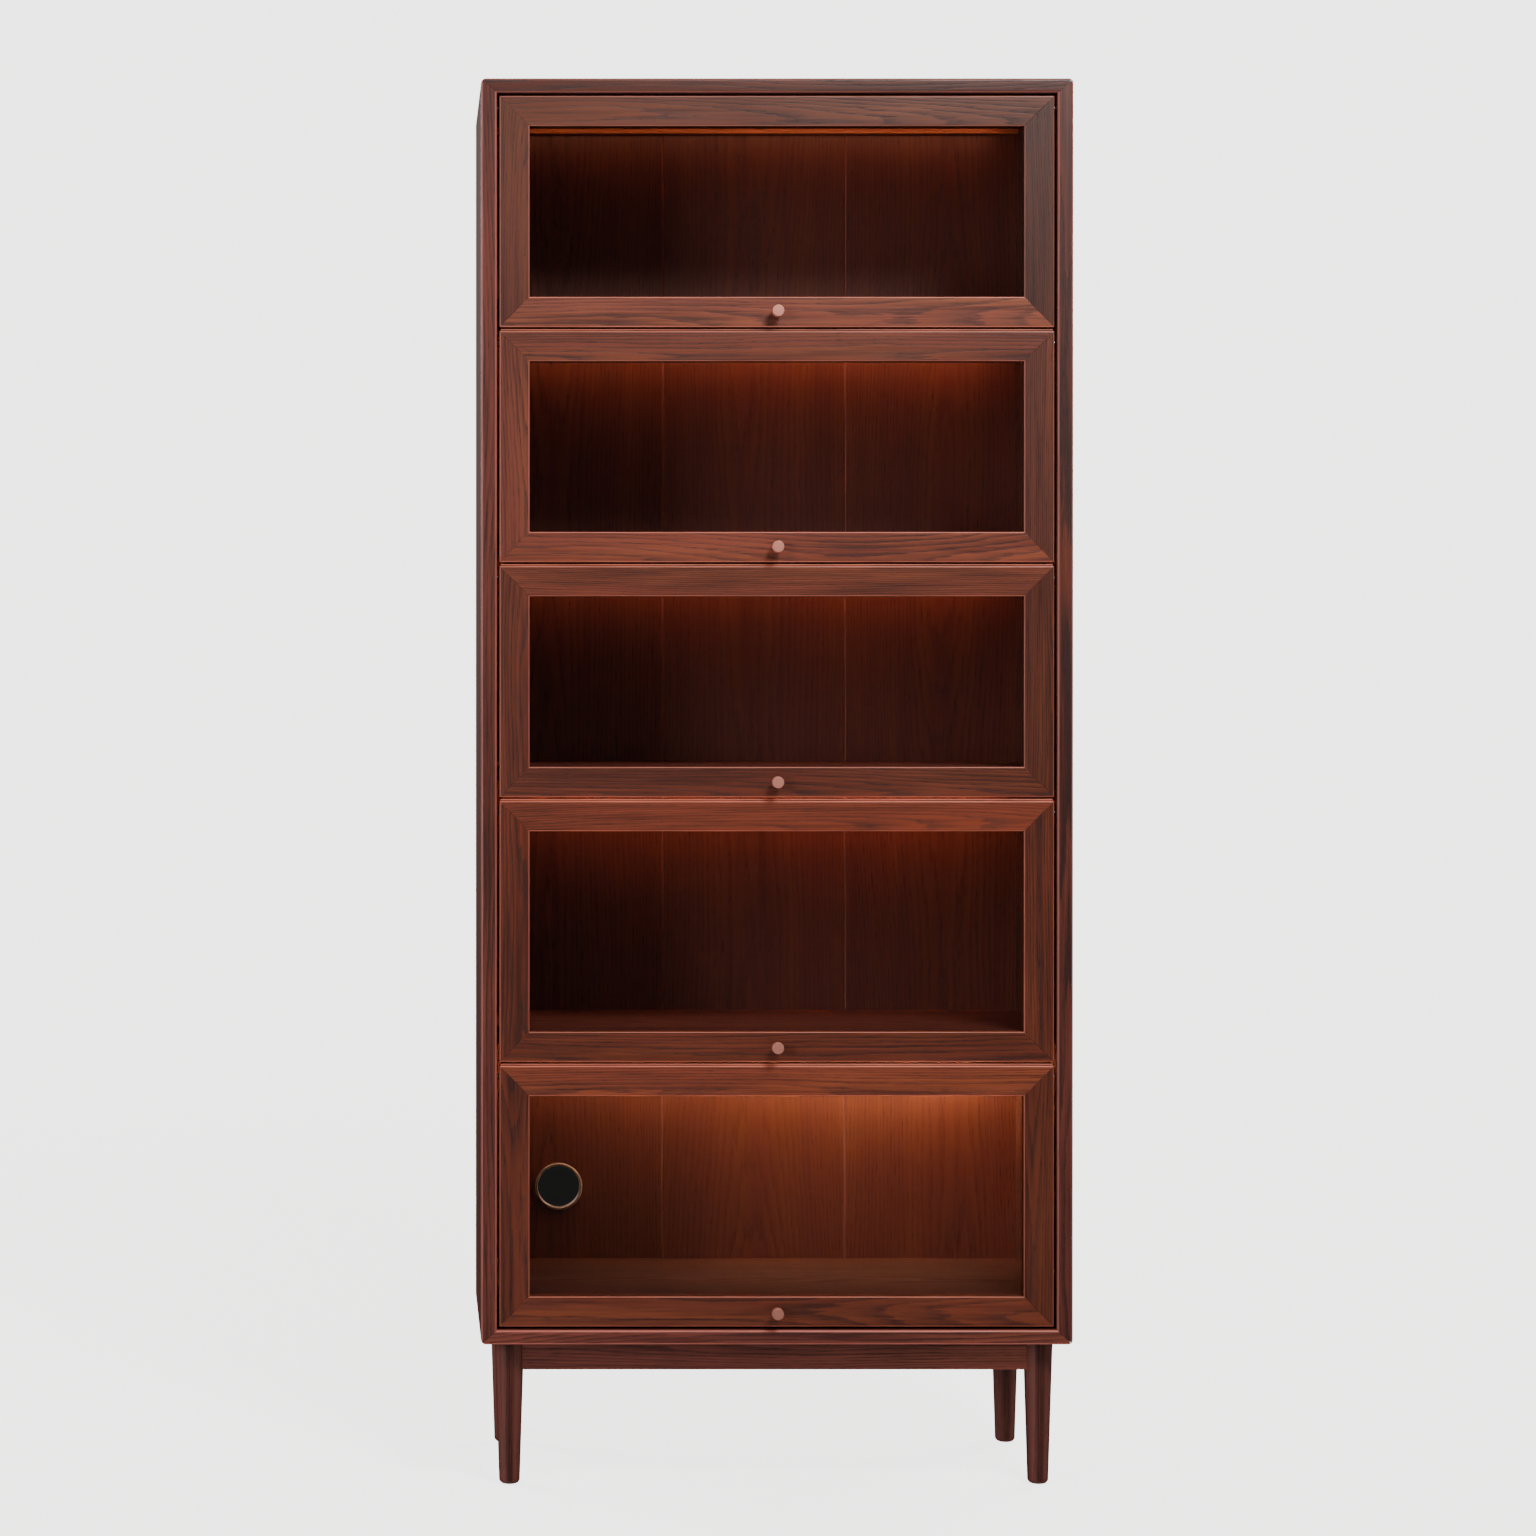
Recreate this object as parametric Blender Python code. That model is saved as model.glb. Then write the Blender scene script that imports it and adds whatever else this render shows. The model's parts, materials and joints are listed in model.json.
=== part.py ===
"""Barrister bookcase: five glazed doors that lift about a rod and slide back over the shelf.

Metres, +Z up, front towards -Y. The origin is at the middle of the footprint, on the floor.
"""
import math

import bmesh
import bpy
from mathutils import Vector

# Case
CASE_WIDTH = 0.800
CASE_DEPTH = 0.330
BOARD_THICKNESS = 0.020
SIDE_THICKNESS = 0.022
CORNER_RADIUS = 0.008
FRONT_ROUND = 0.004
MITRE_DEPTH = 0.012
FIT_GAP = 0.0003

# Doors, listed from the top tier down
DOOR_HEIGHTS = (0.3125, 0.3125, 0.3125, 0.353, 0.353)
DOOR_THICKNESS = 0.020
DOOR_MEMBER = 0.041
DOOR_ARRIS = 0.0025
DOOR_INNER_CHAMFER = 0.002
DOOR_RECESS = 0.005
DOOR_SIDE_GAP = 0.003
DOOR_GAP = 0.005
DOOR_TOP_GAP = 0.003
DOOR_BOTTOM_GAP = 0.0035
GLASS_THICKNESS = 0.004
GLASS_SETBACK = 0.008
GLASS_HOLD = 0.008
GLASS_EDGE_GAP = 0.001

# Pivot rod and its grooves
ROD_RADIUS = 0.003
ROD_CLEARANCE = 0.00035
PIVOT_DROP = 0.016
ROD_GROOVE_DEPTH = 0.005
ROD_END_GAP = 0.0005
STOW_CLEARANCE = 0.003

# Knob
KNOB_RADIUS = 0.008
KNOB_HEAD = 0.010
KNOB_NECK_RADIUS = 0.0045
KNOB_NECK = 0.009
KNOB_ARRIS = 0.0015
KNOB_SPIGOT_RADIUS = 0.003
KNOB_SPIGOT = 0.009

# Shelves and back
SHELF_THICKNESS = 0.020
SHELF_RISE = 0.041
SHELF_STOP_GAP = 0.0005
SHELF_ARRIS = 0.0015
HOUSING_DEPTH = 0.005
BACK_THICKNESS = 0.012
BACK_RECESS = 0.018
BACK_GROOVE_DEPTH = 0.006
BACK_CENTRE_WIDTH = 0.262
TONGUE_LENGTH = 0.005
TONGUE_THICKNESS = 0.004
SEAM_CHAMFER = 0.0015
CABLE_HOLE_RADIUS = 0.031
CABLE_HOLE_CHAMFER = 0.0015
CABLE_HOLE_FROM_SIDE = 0.097
CABLE_HOLE_RISE = 0.1035

# Light bars
LED_WIDTH = 0.012
LED_HEIGHT = 0.006
LED_END_MARGIN = 0.030
LED_FROM_BACK = 0.045

# Legs and aprons
LEG_HEIGHT = 0.196
LEG_TOP_RADIUS = 0.020
LEG_FOOT_RADIUS = 0.014
LEG_TOE = 0.006
LEG_INSET_SIDE = 0.040
LEG_INSET_DEPTH = 0.042
LEG_SPIGOT_RADIUS = 0.006
LEG_SPIGOT = 0.012
APRON_HEIGHT = 0.040
APRON_THICKNESS = 0.020

# Facets
LEG_SIDES = 32
KNOB_SIDES = 24
ROD_SIDES = 16
HOLE_SIDES = 48
ARC_STEPS = 5
OVERCUT = 0.002

# Worked out from the sizes above
KNOB_REACH = FIT_GAP + KNOB_NECK + KNOB_HEAD
KNOB_PAST_CASE = KNOB_REACH - DOOR_RECESS
FRONT = -(CASE_DEPTH - KNOB_PAST_CASE) / 2
BACK = FRONT + CASE_DEPTH
HALF_WIDTH = CASE_WIDTH / 2
INNER_X = HALF_WIDTH - SIDE_THICKNESS
DOOR_FACE = FRONT + DOOR_RECESS
DOOR_REAR = DOOR_FACE + DOOR_THICKNESS
PIVOT_Y = DOOR_FACE + DOOR_THICKNESS / 2
DOOR_X = INNER_X - DOOR_SIDE_GAP
SHELF_FRONT = DOOR_REAR + SHELF_STOP_GAP
BACK_FACE = BACK - BACK_RECESS - BACK_THICKNESS
LED_REACH = INNER_X - LED_END_MARGIN
CASE_BOTTOM = LEG_HEIGHT
CASE_FLOOR = CASE_BOTTOM + BOARD_THICKNESS
DOOR_STACK = sum(DOOR_HEIGHTS) + DOOR_GAP * (len(DOOR_HEIGHTS) - 1)
CASE_CEILING = CASE_FLOOR + DOOR_BOTTOM_GAP + DOOR_STACK + DOOR_TOP_GAP
CASE_TOP = CASE_CEILING + BOARD_THICKNESS
LEG_X = HALF_WIDTH - LEG_INSET_SIDE
LEG_FRONT_Y = FRONT + LEG_INSET_DEPTH
LEG_BACK_Y = BACK - LEG_INSET_DEPTH

COLOURS = {
    "case_oak": ((0.100, 0.030, 0.020), 0.45, 0.0),
    "door_oak": ((0.155, 0.050, 0.032), 0.42, 0.0),
    "inner_oak": ((0.110, 0.028, 0.016), 0.50, 0.0),
    "leg_oak": ((0.075, 0.022, 0.016), 0.40, 0.0),
    "clear_glass": ((0.90, 0.92, 0.92), 0.05, 0.0),
    "copper": ((0.58, 0.32, 0.26), 0.35, 0.9),
    "steel": ((0.50, 0.50, 0.50), 0.30, 1.0),
    "diffuser": ((0.95, 0.80, 0.60), 0.50, 0.0),
}


def material(name):
    """One Principled material for each name in COLOURS, made on first use."""
    found = bpy.data.materials.get(name)
    if found:
        return found
    colour, roughness, metallic = COLOURS[name]
    made = bpy.data.materials.new(name)
    made.use_nodes = True
    shader = made.node_tree.nodes["Principled BSDF"]
    shader.inputs["Base Color"].default_value = (*colour, 1.0)
    shader.inputs["Roughness"].default_value = roughness
    shader.inputs["Metallic"].default_value = metallic
    return made


def solid(name, bm, look=None, smooth=False):
    """Turns a finished bmesh into an object whose mesh lies in world space."""
    bmesh.ops.recalc_face_normals(bm, faces=bm.faces)
    mesh = bpy.data.meshes.new(name)
    bm.to_mesh(mesh)
    bm.free()
    if look:
        mesh.materials.append(material(look))
    if smooth:
        mesh.shade_smooth()
        mesh.set_sharp_from_angle(angle=math.radians(30))
    piece = bpy.data.objects.new(name, mesh)
    bpy.context.collection.objects.link(piece)
    return piece


def loft(rings):
    """Joins rings of equal length into one closed body, capped at both ends."""
    bm = bmesh.new()
    loops = [[bm.verts.new(point) for point in ring] for ring in rings]
    bm.faces.new(loops[0])
    bm.faces.new(loops[-1])
    for lower, upper in zip(loops, loops[1:]):
        for i in range(len(lower)):
            bm.faces.new((lower[i - 1], lower[i], upper[i], upper[i - 1]))
    return bm


def prism(outline, place, start, end):
    """Sweeps a flat outline; place(a, b, along) gives the point in space."""
    return loft([[place(a, b, along) for a, b in outline] for along in (start, end)])


def along_x(a, b, along):
    return (along, a, b)


def along_y(a, b, along):
    return (a, along, b)


def along_z(a, b, along):
    return (a, b, along)


def block(low, high):
    """A plain box between two opposite corners."""
    outline = ((low[0], low[1]), (high[0], low[1]), (high[0], high[1]), (low[0], high[1]))
    return prism(outline, along_z, low[2], high[2])


def circle(radius, sides, centre=(0.0, 0.0)):
    angles = [2 * math.pi * i / sides for i in range(sides)]
    return [(centre[0] + radius * math.cos(t), centre[1] + radius * math.sin(t)) for t in angles]


def turned(profile, place, centre, sides):
    """A turned body from (radius, position) pairs along its axis."""
    return loft([[place(a, b, at) for a, b in circle(r, sides, centre)] for r, at in profile])


def rounded(low, high, radii):
    """A rectangle with its own radius at each corner, anticlockwise from the low corner."""
    corners = ((low[0], low[1]), (high[0], low[1]), (high[0], high[1]), (low[0], high[1]))
    inward = ((1, 1), (-1, 1), (-1, -1), (1, -1))
    outline = []
    for turn, (corner, way, radius) in enumerate(zip(corners, inward, radii)):
        if radius == 0:
            outline.append(corner)
            continue
        centre = (corner[0] + way[0] * radius, corner[1] + way[1] * radius)
        for step in range(ARC_STEPS + 1):
            angle = math.pi + math.pi / 2 * (turn + step / ARC_STEPS)
            outline.append((centre[0] + radius * math.cos(angle), centre[1] + radius * math.sin(angle)))
    return outline


def carve(piece, cutters, operation="DIFFERENCE"):
    """Applies one exact Boolean for each cutter and throws the cutter away."""
    for cutter in cutters:
        modifier = piece.modifiers.new("carve", "BOOLEAN")
        modifier.operation = operation
        modifier.solver = "EXACT"
        modifier.object = cutter
    graph = bpy.context.evaluated_depsgraph_get()
    shaped = bpy.data.meshes.new_from_object(piece.evaluated_get(graph))
    piece.modifiers.clear()
    piece.data = shaped
    shaped.name = piece.name
    for cutter in cutters:
        bpy.data.objects.remove(cutter)
    return piece


def hang(name, solids, pivot_z, parent=None):
    """Puts solids under an empty on their axis, leaving them where they are in space."""
    axis = bpy.data.objects.new(name, None)
    bpy.context.collection.objects.link(axis)
    axis.parent = parent
    centre = Vector((0.0, PIVOT_Y, pivot_z))
    axis.location = (0.0, 0.0, 0.0) if parent else centre
    for piece in solids:
        for vertex in piece.data.vertices:
            vertex.co -= centre
        piece.parent = axis
    return axis


def door_places():
    """Bottom, top, pivot height and slide travel of each door, from the top tier down."""
    places = []
    top = CASE_CEILING - DOOR_TOP_GAP
    for number, height in enumerate(DOOR_HEIGHTS):
        overhead = FRONT if number == 0 else DOOR_FACE
        knob_at = height - PIVOT_DROP - DOOR_MEMBER / 2
        knob_limit = knob_at - KNOB_RADIUS - (PIVOT_Y - overhead) - STOW_CLEARANCE
        depth_limit = BACK_FACE - PIVOT_Y - PIVOT_DROP - STOW_CLEARANCE
        places.append({
            "bottom": top - height,
            "top": top,
            "pivot_z": top - PIVOT_DROP,
            "travel": min(knob_limit, depth_limit),
        })
        top -= height + DOOR_GAP
    return places


DOORS = door_places()
SHELF_TOPS = [door["bottom"] + SHELF_RISE for door in DOORS]


def corner_cutters(side, end, for_side_board):
    """Cutters for one case corner: mitred at the front edge, lapped behind it."""
    outer = Vector((side * HALF_WIDTH, CASE_TOP if end > 0 else CASE_BOTTOM))
    inner = Vector((side * INNER_X, CASE_CEILING if end > 0 else CASE_FLOOR))
    away = Vector((side, end)) * OVERCUT
    to_side_board = Vector((side, -end))
    if for_side_board:
        third = Vector((inner.x, outer.y)) - to_side_board * OVERCUT
        shift = to_side_board.normalized() * FIT_GAP / 2
    else:
        third = Vector((outer.x, inner.y)) + to_side_board * OVERCUT
        shift = -to_side_board.normalized() * FIT_GAP / 2
    outline = [tuple(point + shift) for point in (outer + away, inner - away, third)]
    cuts = [solid("mitre", prism(outline, along_y, FRONT - OVERCUT, FRONT + MITRE_DEPTH))]
    if for_side_board:
        low_x, high_x = sorted((inner.x - side * OVERCUT, outer.x + side * OVERCUT))
        low_z, high_z = sorted((inner.y - end * FIT_GAP, outer.y + end * OVERCUT))
        start = FRONT + MITRE_DEPTH - FIT_GAP
        cuts.append(solid("lap", block((low_x, start, low_z), (high_x, BACK + OVERCUT, high_z))))
    return cuts


def case_outline(name):
    """The case's outside shape, used to round the outer corners of the boards."""
    outline = rounded((-HALF_WIDTH, CASE_BOTTOM), (HALF_WIDTH, CASE_TOP), [CORNER_RADIUS] * 4)
    return solid(name, prism(outline, along_y, FRONT - OVERCUT, BACK + OVERCUT))


def back_groove(side=0, end=0):
    """The groove that holds the back boards, in one side board or in the top or bottom board."""
    reach_x = INNER_X + BACK_GROOVE_DEPTH + FIT_GAP
    low_z = CASE_FLOOR - BACK_GROOVE_DEPTH - FIT_GAP
    high_z = CASE_CEILING + BACK_GROOVE_DEPTH + FIT_GAP
    if side:
        low_x, high_x = sorted((side * (INNER_X - OVERCUT), side * reach_x))
    else:
        low_x, high_x = -reach_x, reach_x
    if end > 0:
        low_z = CASE_CEILING - OVERCUT
    if end < 0:
        high_z = CASE_FLOOR + OVERCUT
    low = (low_x, BACK_FACE - FIT_GAP, low_z)
    return solid("groove", block(low, (high_x, BACK_FACE + BACK_THICKNESS + FIT_GAP, high_z)))


def led_recess(ceiling):
    """The channel for one light bar in the underside of the board above a tier."""
    half = LED_REACH + FIT_GAP
    middle = BACK_FACE - LED_FROM_BACK
    low = (-half, middle - LED_WIDTH / 2 - FIT_GAP, ceiling - OVERCUT)
    high = (half, middle + LED_WIDTH / 2 + FIT_GAP, ceiling + LED_HEIGHT + FIT_GAP)
    return solid("channel", block(low, high))


def led_bar(number, ceiling):
    middle = BACK_FACE - LED_FROM_BACK
    low = (-LED_REACH, middle - LED_WIDTH / 2, ceiling)
    high = (LED_REACH, middle + LED_WIDTH / 2, ceiling + LED_HEIGHT)
    return solid(f"led_bar_{number}", block(low, high), "diffuser")


def top_or_bottom_board(name, end):
    low_z, high_z = (CASE_CEILING, CASE_TOP) if end > 0 else (CASE_BOTTOM, CASE_FLOOR)
    radii = [FRONT_ROUND, 0, 0, FRONT_ROUND]
    profile = rounded((FRONT, low_z), (BACK, high_z), radii)
    board = solid(name, prism(profile, along_x, -HALF_WIDTH, HALF_WIDTH), "case_oak")
    cuts = [cut for side in (-1, 1) for cut in corner_cutters(side, end, False)]
    cuts.append(back_groove(end=end))
    if end > 0:
        cuts.append(led_recess(CASE_CEILING))
    else:
        cuts += [leg_body("socket", x, y, FIT_GAP) for x, y in leg_places().values()]
    carve(board, cuts)
    return carve(board, [case_outline("outline")], "INTERSECT")


def side_board(name, side):
    low_x, high_x = sorted((side * INNER_X, side * HALF_WIDTH))
    profile = rounded((low_x, FRONT), (high_x, BACK), [FRONT_ROUND, FRONT_ROUND, 0, 0])
    board = solid(name, prism(profile, along_z, CASE_BOTTOM, CASE_TOP), "case_oak")
    cuts = [cut for end in (-1, 1) for cut in corner_cutters(side, end, True)]
    cuts.append(back_groove(side=side))
    cuts += [housing(side, top) for top in SHELF_TOPS]
    cuts += [rod_groove(side, door) for door in DOORS]
    carve(board, cuts)
    return carve(board, [case_outline("outline")], "INTERSECT")


def housing(side, shelf_top):
    """The stopped housing in a side board for one end of a shelf."""
    low_x, high_x = sorted((side * (INNER_X - OVERCUT), side * (INNER_X + HOUSING_DEPTH)))
    low = (low_x, SHELF_FRONT - FIT_GAP, shelf_top - SHELF_THICKNESS - FIT_GAP)
    return solid("housing", block(low, (high_x, BACK_FACE, shelf_top + FIT_GAP)))


def rod_groove(side, door):
    """The long groove that one end of a pivot rod slides in."""
    radius = ROD_RADIUS + ROD_CLEARANCE
    low = (PIVOT_Y - radius, door["pivot_z"] - radius)
    high = (PIVOT_Y + door["travel"] + radius, door["pivot_z"] + radius)
    outline = rounded(low, high, [radius] * 4)
    ends = sorted((side * (INNER_X - OVERCUT), side * (INNER_X + ROD_GROOVE_DEPTH)))
    return solid("rod_groove", prism(outline, along_x, *ends))


def shelf(name, top, light):
    """A shelf seated in both side boards, with a light channel underneath where one is fitted."""
    reach = INNER_X + HOUSING_DEPTH - FIT_GAP
    radii = [SHELF_ARRIS, 0, 0, SHELF_ARRIS]
    profile = rounded((SHELF_FRONT, top - SHELF_THICKNESS), (BACK_FACE - FIT_GAP, top), radii)
    board = solid(name, prism(profile, along_x, -reach, reach), "inner_oak")
    if light:
        carve(board, [led_recess(top - SHELF_THICKNESS)])
    return board


def back_board_outline(start, end, tongue, groove):
    """Plan of one back board, with a tongue on its low edge and a groove on its high edge."""
    front, rear = BACK_FACE, BACK_FACE + BACK_THICKNESS
    middle = (front + rear) / 2
    half = TONGUE_THICKNESS / 2
    slot = half + FIT_GAP
    outline = [(start, rear)]
    if tongue:
        outline += [(start, middle + half), (start - TONGUE_LENGTH, middle + half)]
        outline += [(start - TONGUE_LENGTH, middle - half), (start, middle - half)]
        outline += [(start, front + SEAM_CHAMFER), (start + SEAM_CHAMFER, front)]
    else:
        outline.append((start, front))
    if groove:
        bottom = end - TONGUE_LENGTH - FIT_GAP
        outline += [(end - SEAM_CHAMFER, front), (end, front + SEAM_CHAMFER)]
        outline += [(end, middle - slot), (bottom, middle - slot)]
        outline += [(bottom, middle + slot), (end, middle + slot)]
    else:
        outline.append((end, front))
    outline.append((end, rear))
    return outline


def back_boards():
    edge = INNER_X + BACK_GROOVE_DEPTH
    half = BACK_CENTRE_WIDTH / 2
    spans = {
        "back_board_left": (-edge, -half - FIT_GAP, False, True),
        "back_board_centre": (-half, half, True, True),
        "back_board_right": (half + FIT_GAP, edge, True, False),
    }
    low, high = CASE_FLOOR - BACK_GROOVE_DEPTH, CASE_CEILING + BACK_GROOVE_DEPTH
    boards = {}
    for name, span in spans.items():
        boards[name] = solid(name, prism(back_board_outline(*span), along_z, low, high), "inner_oak")
    wide = CABLE_HOLE_RADIUS + CABLE_HOLE_CHAMFER
    profile = (
        (wide + OVERCUT, BACK_FACE - OVERCUT),
        (CABLE_HOLE_RADIUS, BACK_FACE + CABLE_HOLE_CHAMFER),
        (CABLE_HOLE_RADIUS, BACK_FACE + BACK_THICKNESS + OVERCUT),
    )
    centre = (CABLE_HOLE_FROM_SIDE - INNER_X, SHELF_TOPS[-1] + CABLE_HOLE_RISE)
    carve(boards["back_board_left"], [solid("cable_hole", turned(profile, along_y, centre, HOLE_SIDES))])


def leg_places():
    return {
        "leg_front_left": (-LEG_X, LEG_FRONT_Y),
        "leg_front_right": (LEG_X, LEG_FRONT_Y),
        "leg_back_left": (-LEG_X, LEG_BACK_Y),
        "leg_back_right": (LEG_X, LEG_BACK_Y),
    }


def leg_body(name, x, y, grow=0.0, look=None):
    """A tapered leg with a rounded toe and a spigot; grown, it cuts what fits around it."""
    shoulder = LEG_HEIGHT - FIT_GAP + grow
    profile = []
    for step in range(ARC_STEPS + 1):
        angle = math.pi / 2 * step / ARC_STEPS
        radius = LEG_FOOT_RADIUS - LEG_TOE * (1 - math.sin(angle))
        profile.append((radius + grow, LEG_TOE * (1 - math.cos(angle))))
    profile += [
        (LEG_TOP_RADIUS + grow, shoulder),
        (LEG_SPIGOT_RADIUS + grow, shoulder),
        (LEG_SPIGOT_RADIUS + grow, LEG_HEIGHT + LEG_SPIGOT + grow),
    ]
    return solid(name, turned(profile, along_z, (x, y), LEG_SIDES), look, smooth=True)


def apron(name, first, second):
    """A rail from one leg's middle to another's, scribed to the round of both legs."""
    low_x, high_x = sorted((first[0], second[0]))
    low_y, high_y = sorted((first[1], second[1]))
    half = APRON_THICKNESS / 2
    if low_y == high_y:
        low_y, high_y = low_y - half, high_y + half
    else:
        low_x, high_x = low_x - half, high_x + half
    low = (low_x, low_y, LEG_HEIGHT - APRON_HEIGHT)
    rail = solid(name, block(low, (high_x, high_y, LEG_HEIGHT - FIT_GAP)), "leg_oak")
    return carve(rail, [leg_body("scribe", *place, grow=FIT_GAP) for place in (first, second)])


def underframe():
    places = leg_places()
    for name, place in places.items():
        leg_body(name, *place, look="leg_oak")
    apron("apron_front", places["leg_front_left"], places["leg_front_right"])
    apron("apron_back", places["leg_back_left"], places["leg_back_right"])
    apron("apron_left", places["leg_front_left"], places["leg_back_left"])
    apron("apron_right", places["leg_front_right"], places["leg_back_right"])


def member_profile():
    """Section of a door member: first value in from the outer edge, second back from the face."""
    slot_front = GLASS_SETBACK - FIT_GAP
    slot_back = GLASS_SETBACK + GLASS_THICKNESS + FIT_GAP
    slot_bottom = DOOR_MEMBER - GLASS_HOLD - GLASS_EDGE_GAP
    outer = rounded((0.0, 0.0), (DOOR_MEMBER, DOOR_THICKNESS), [DOOR_ARRIS, 0, 0, DOOR_ARRIS])
    corner = outer.index((DOOR_MEMBER, 0.0))
    inner = [
        (DOOR_MEMBER - DOOR_INNER_CHAMFER, 0.0),
        (DOOR_MEMBER, DOOR_INNER_CHAMFER),
        (DOOR_MEMBER, slot_front),
        (slot_bottom, slot_front),
        (slot_bottom, slot_back),
        (DOOR_MEMBER, slot_back),
    ]
    return outer[:corner] + inner + outer[corner + 1:]


def door_member(name, door, across):
    """One mitred member; across is -1 or 1 for a stile, -2 or 2 for the bottom or top rail."""
    back_off = FIT_GAP / math.sqrt(2)
    rings = []
    for end in (-1, 1):
        ring = []
        for inset, back in member_profile():
            y = DOOR_FACE + back
            if abs(across) == 1:
                x = across * (DOOR_X - inset)
                z = door["bottom"] + inset + back_off if end < 0 else door["top"] - inset - back_off
            else:
                x = end * (DOOR_X - inset - back_off)
                z = door["top"] - inset if across > 0 else door["bottom"] + inset
            ring.append((x, y, z))
        rings.append(ring)
    return solid(name, loft(rings), "door_oak")


def knob(name, door):
    """A flat-faced round pull on a neck, with a spigot let into the bottom rail."""
    start = DOOR_FACE - FIT_GAP
    head_back = start - KNOB_NECK
    tip = head_back - KNOB_HEAD
    profile = (
        (KNOB_SPIGOT_RADIUS, start + KNOB_SPIGOT),
        (KNOB_SPIGOT_RADIUS, start),
        (KNOB_NECK_RADIUS, start),
        (KNOB_NECK_RADIUS, head_back),
        (KNOB_RADIUS - KNOB_ARRIS, head_back),
        (KNOB_RADIUS, head_back - KNOB_ARRIS),
        (KNOB_RADIUS, tip + KNOB_ARRIS),
        (KNOB_RADIUS - KNOB_ARRIS, tip),
    )
    centre = (0.0, door["bottom"] + DOOR_MEMBER / 2)
    return solid(name, turned(profile, along_y, centre, KNOB_SIDES), "copper", smooth=True)


def knob_hole(door):
    radius = KNOB_SPIGOT_RADIUS + FIT_GAP
    profile = ((radius, DOOR_FACE - OVERCUT), (radius, DOOR_FACE + KNOB_SPIGOT + FIT_GAP))
    centre = (0.0, door["bottom"] + DOOR_MEMBER / 2)
    return solid("knob_hole", turned(profile, along_y, centre, KNOB_SIDES))


def rod(name, door, radius, reach, look=None):
    """A round bar along the door's pivot line."""
    profile = ((radius, -reach), (radius, reach))
    centre = (PIVOT_Y, door["pivot_z"])
    return solid(name, turned(profile, along_x, centre, ROD_SIDES), look, smooth=bool(look))


def glass(name, door):
    """The pane, held in the grooves of the four members."""
    reach = DOOR_MEMBER - GLASS_HOLD
    low = (-DOOR_X + reach, DOOR_FACE + GLASS_SETBACK, door["bottom"] + reach)
    high = (DOOR_X - reach, low[1] + GLASS_THICKNESS, door["top"] - reach)
    return solid(name, block(low, high), "clear_glass")


def build_door(number, door):
    label = f"door_{number}_"
    members = {
        "top_rail": door_member(label + "top_rail", door, 2),
        "bottom_rail": door_member(label + "bottom_rail", door, -2),
        "left_stile": door_member(label + "left_stile", door, -1),
        "right_stile": door_member(label + "right_stile", door, 1),
    }
    for side in ("top_rail", "left_stile", "right_stile"):
        bore = rod("bore", door, ROD_RADIUS + ROD_CLEARANCE, HALF_WIDTH)
        carve(members[side], [bore])
    carve(members["bottom_rail"], [knob_hole(door)])
    solids = list(members.values()) + [glass(label + "glass", door), knob(label + "knob", door)]
    reach = INNER_X + ROD_GROOVE_DEPTH - ROD_END_GAP
    pivot_rod = rod(label + "pivot_rod", door, ROD_RADIUS, reach, "steel")
    runner = hang(label + "runner", [pivot_rod], door["pivot_z"])
    hang(label + "axis", solids, door["pivot_z"], runner)


def build_case():
    top_or_bottom_board("top_board", 1)
    top_or_bottom_board("bottom_board", -1)
    side_board("left_side_board", -1)
    side_board("right_side_board", 1)
    back_boards()
    led_bar(1, CASE_CEILING)
    for number, top in enumerate(SHELF_TOPS[:-1], start=1):
        shelf(f"shelf_{number}", top, True)
        led_bar(number + 1, top - SHELF_THICKNESS)
    shelf("floor_board", SHELF_TOPS[-1], False)


for old in list(bpy.data.objects):
    bpy.data.objects.remove(old)
build_case()
underframe()
for door_number, door_place in enumerate(DOORS, start=1):
    build_door(door_number, door_place)
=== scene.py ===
import json
import math

import bmesh
import bpy
from mathutils import Euler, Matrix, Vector


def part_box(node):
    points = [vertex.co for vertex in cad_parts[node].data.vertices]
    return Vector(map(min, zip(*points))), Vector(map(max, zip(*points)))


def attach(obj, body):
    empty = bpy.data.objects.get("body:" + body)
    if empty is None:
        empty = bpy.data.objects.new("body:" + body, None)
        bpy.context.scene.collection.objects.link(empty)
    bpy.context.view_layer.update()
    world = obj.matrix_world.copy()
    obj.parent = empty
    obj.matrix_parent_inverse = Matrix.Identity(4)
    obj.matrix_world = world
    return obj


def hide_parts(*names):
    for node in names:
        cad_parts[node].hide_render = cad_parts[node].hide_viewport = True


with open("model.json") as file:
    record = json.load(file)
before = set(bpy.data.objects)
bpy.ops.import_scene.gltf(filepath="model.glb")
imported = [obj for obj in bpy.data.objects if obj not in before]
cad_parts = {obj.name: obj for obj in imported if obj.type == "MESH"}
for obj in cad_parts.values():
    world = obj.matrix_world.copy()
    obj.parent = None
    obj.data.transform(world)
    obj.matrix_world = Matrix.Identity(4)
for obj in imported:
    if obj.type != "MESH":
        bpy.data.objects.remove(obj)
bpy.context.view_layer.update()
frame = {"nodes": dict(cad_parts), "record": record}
bpy.ops.object.select_all(action="DESELECT")

# ---------------------------------------------------------------- Legs
# Four round oak legs, each turned from one length to an even taper with an eased toe.
# They are stained the darkest brown of the piece and lacquered satin.
# A spigot turned on each head is glued up into the bottom board.


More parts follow.
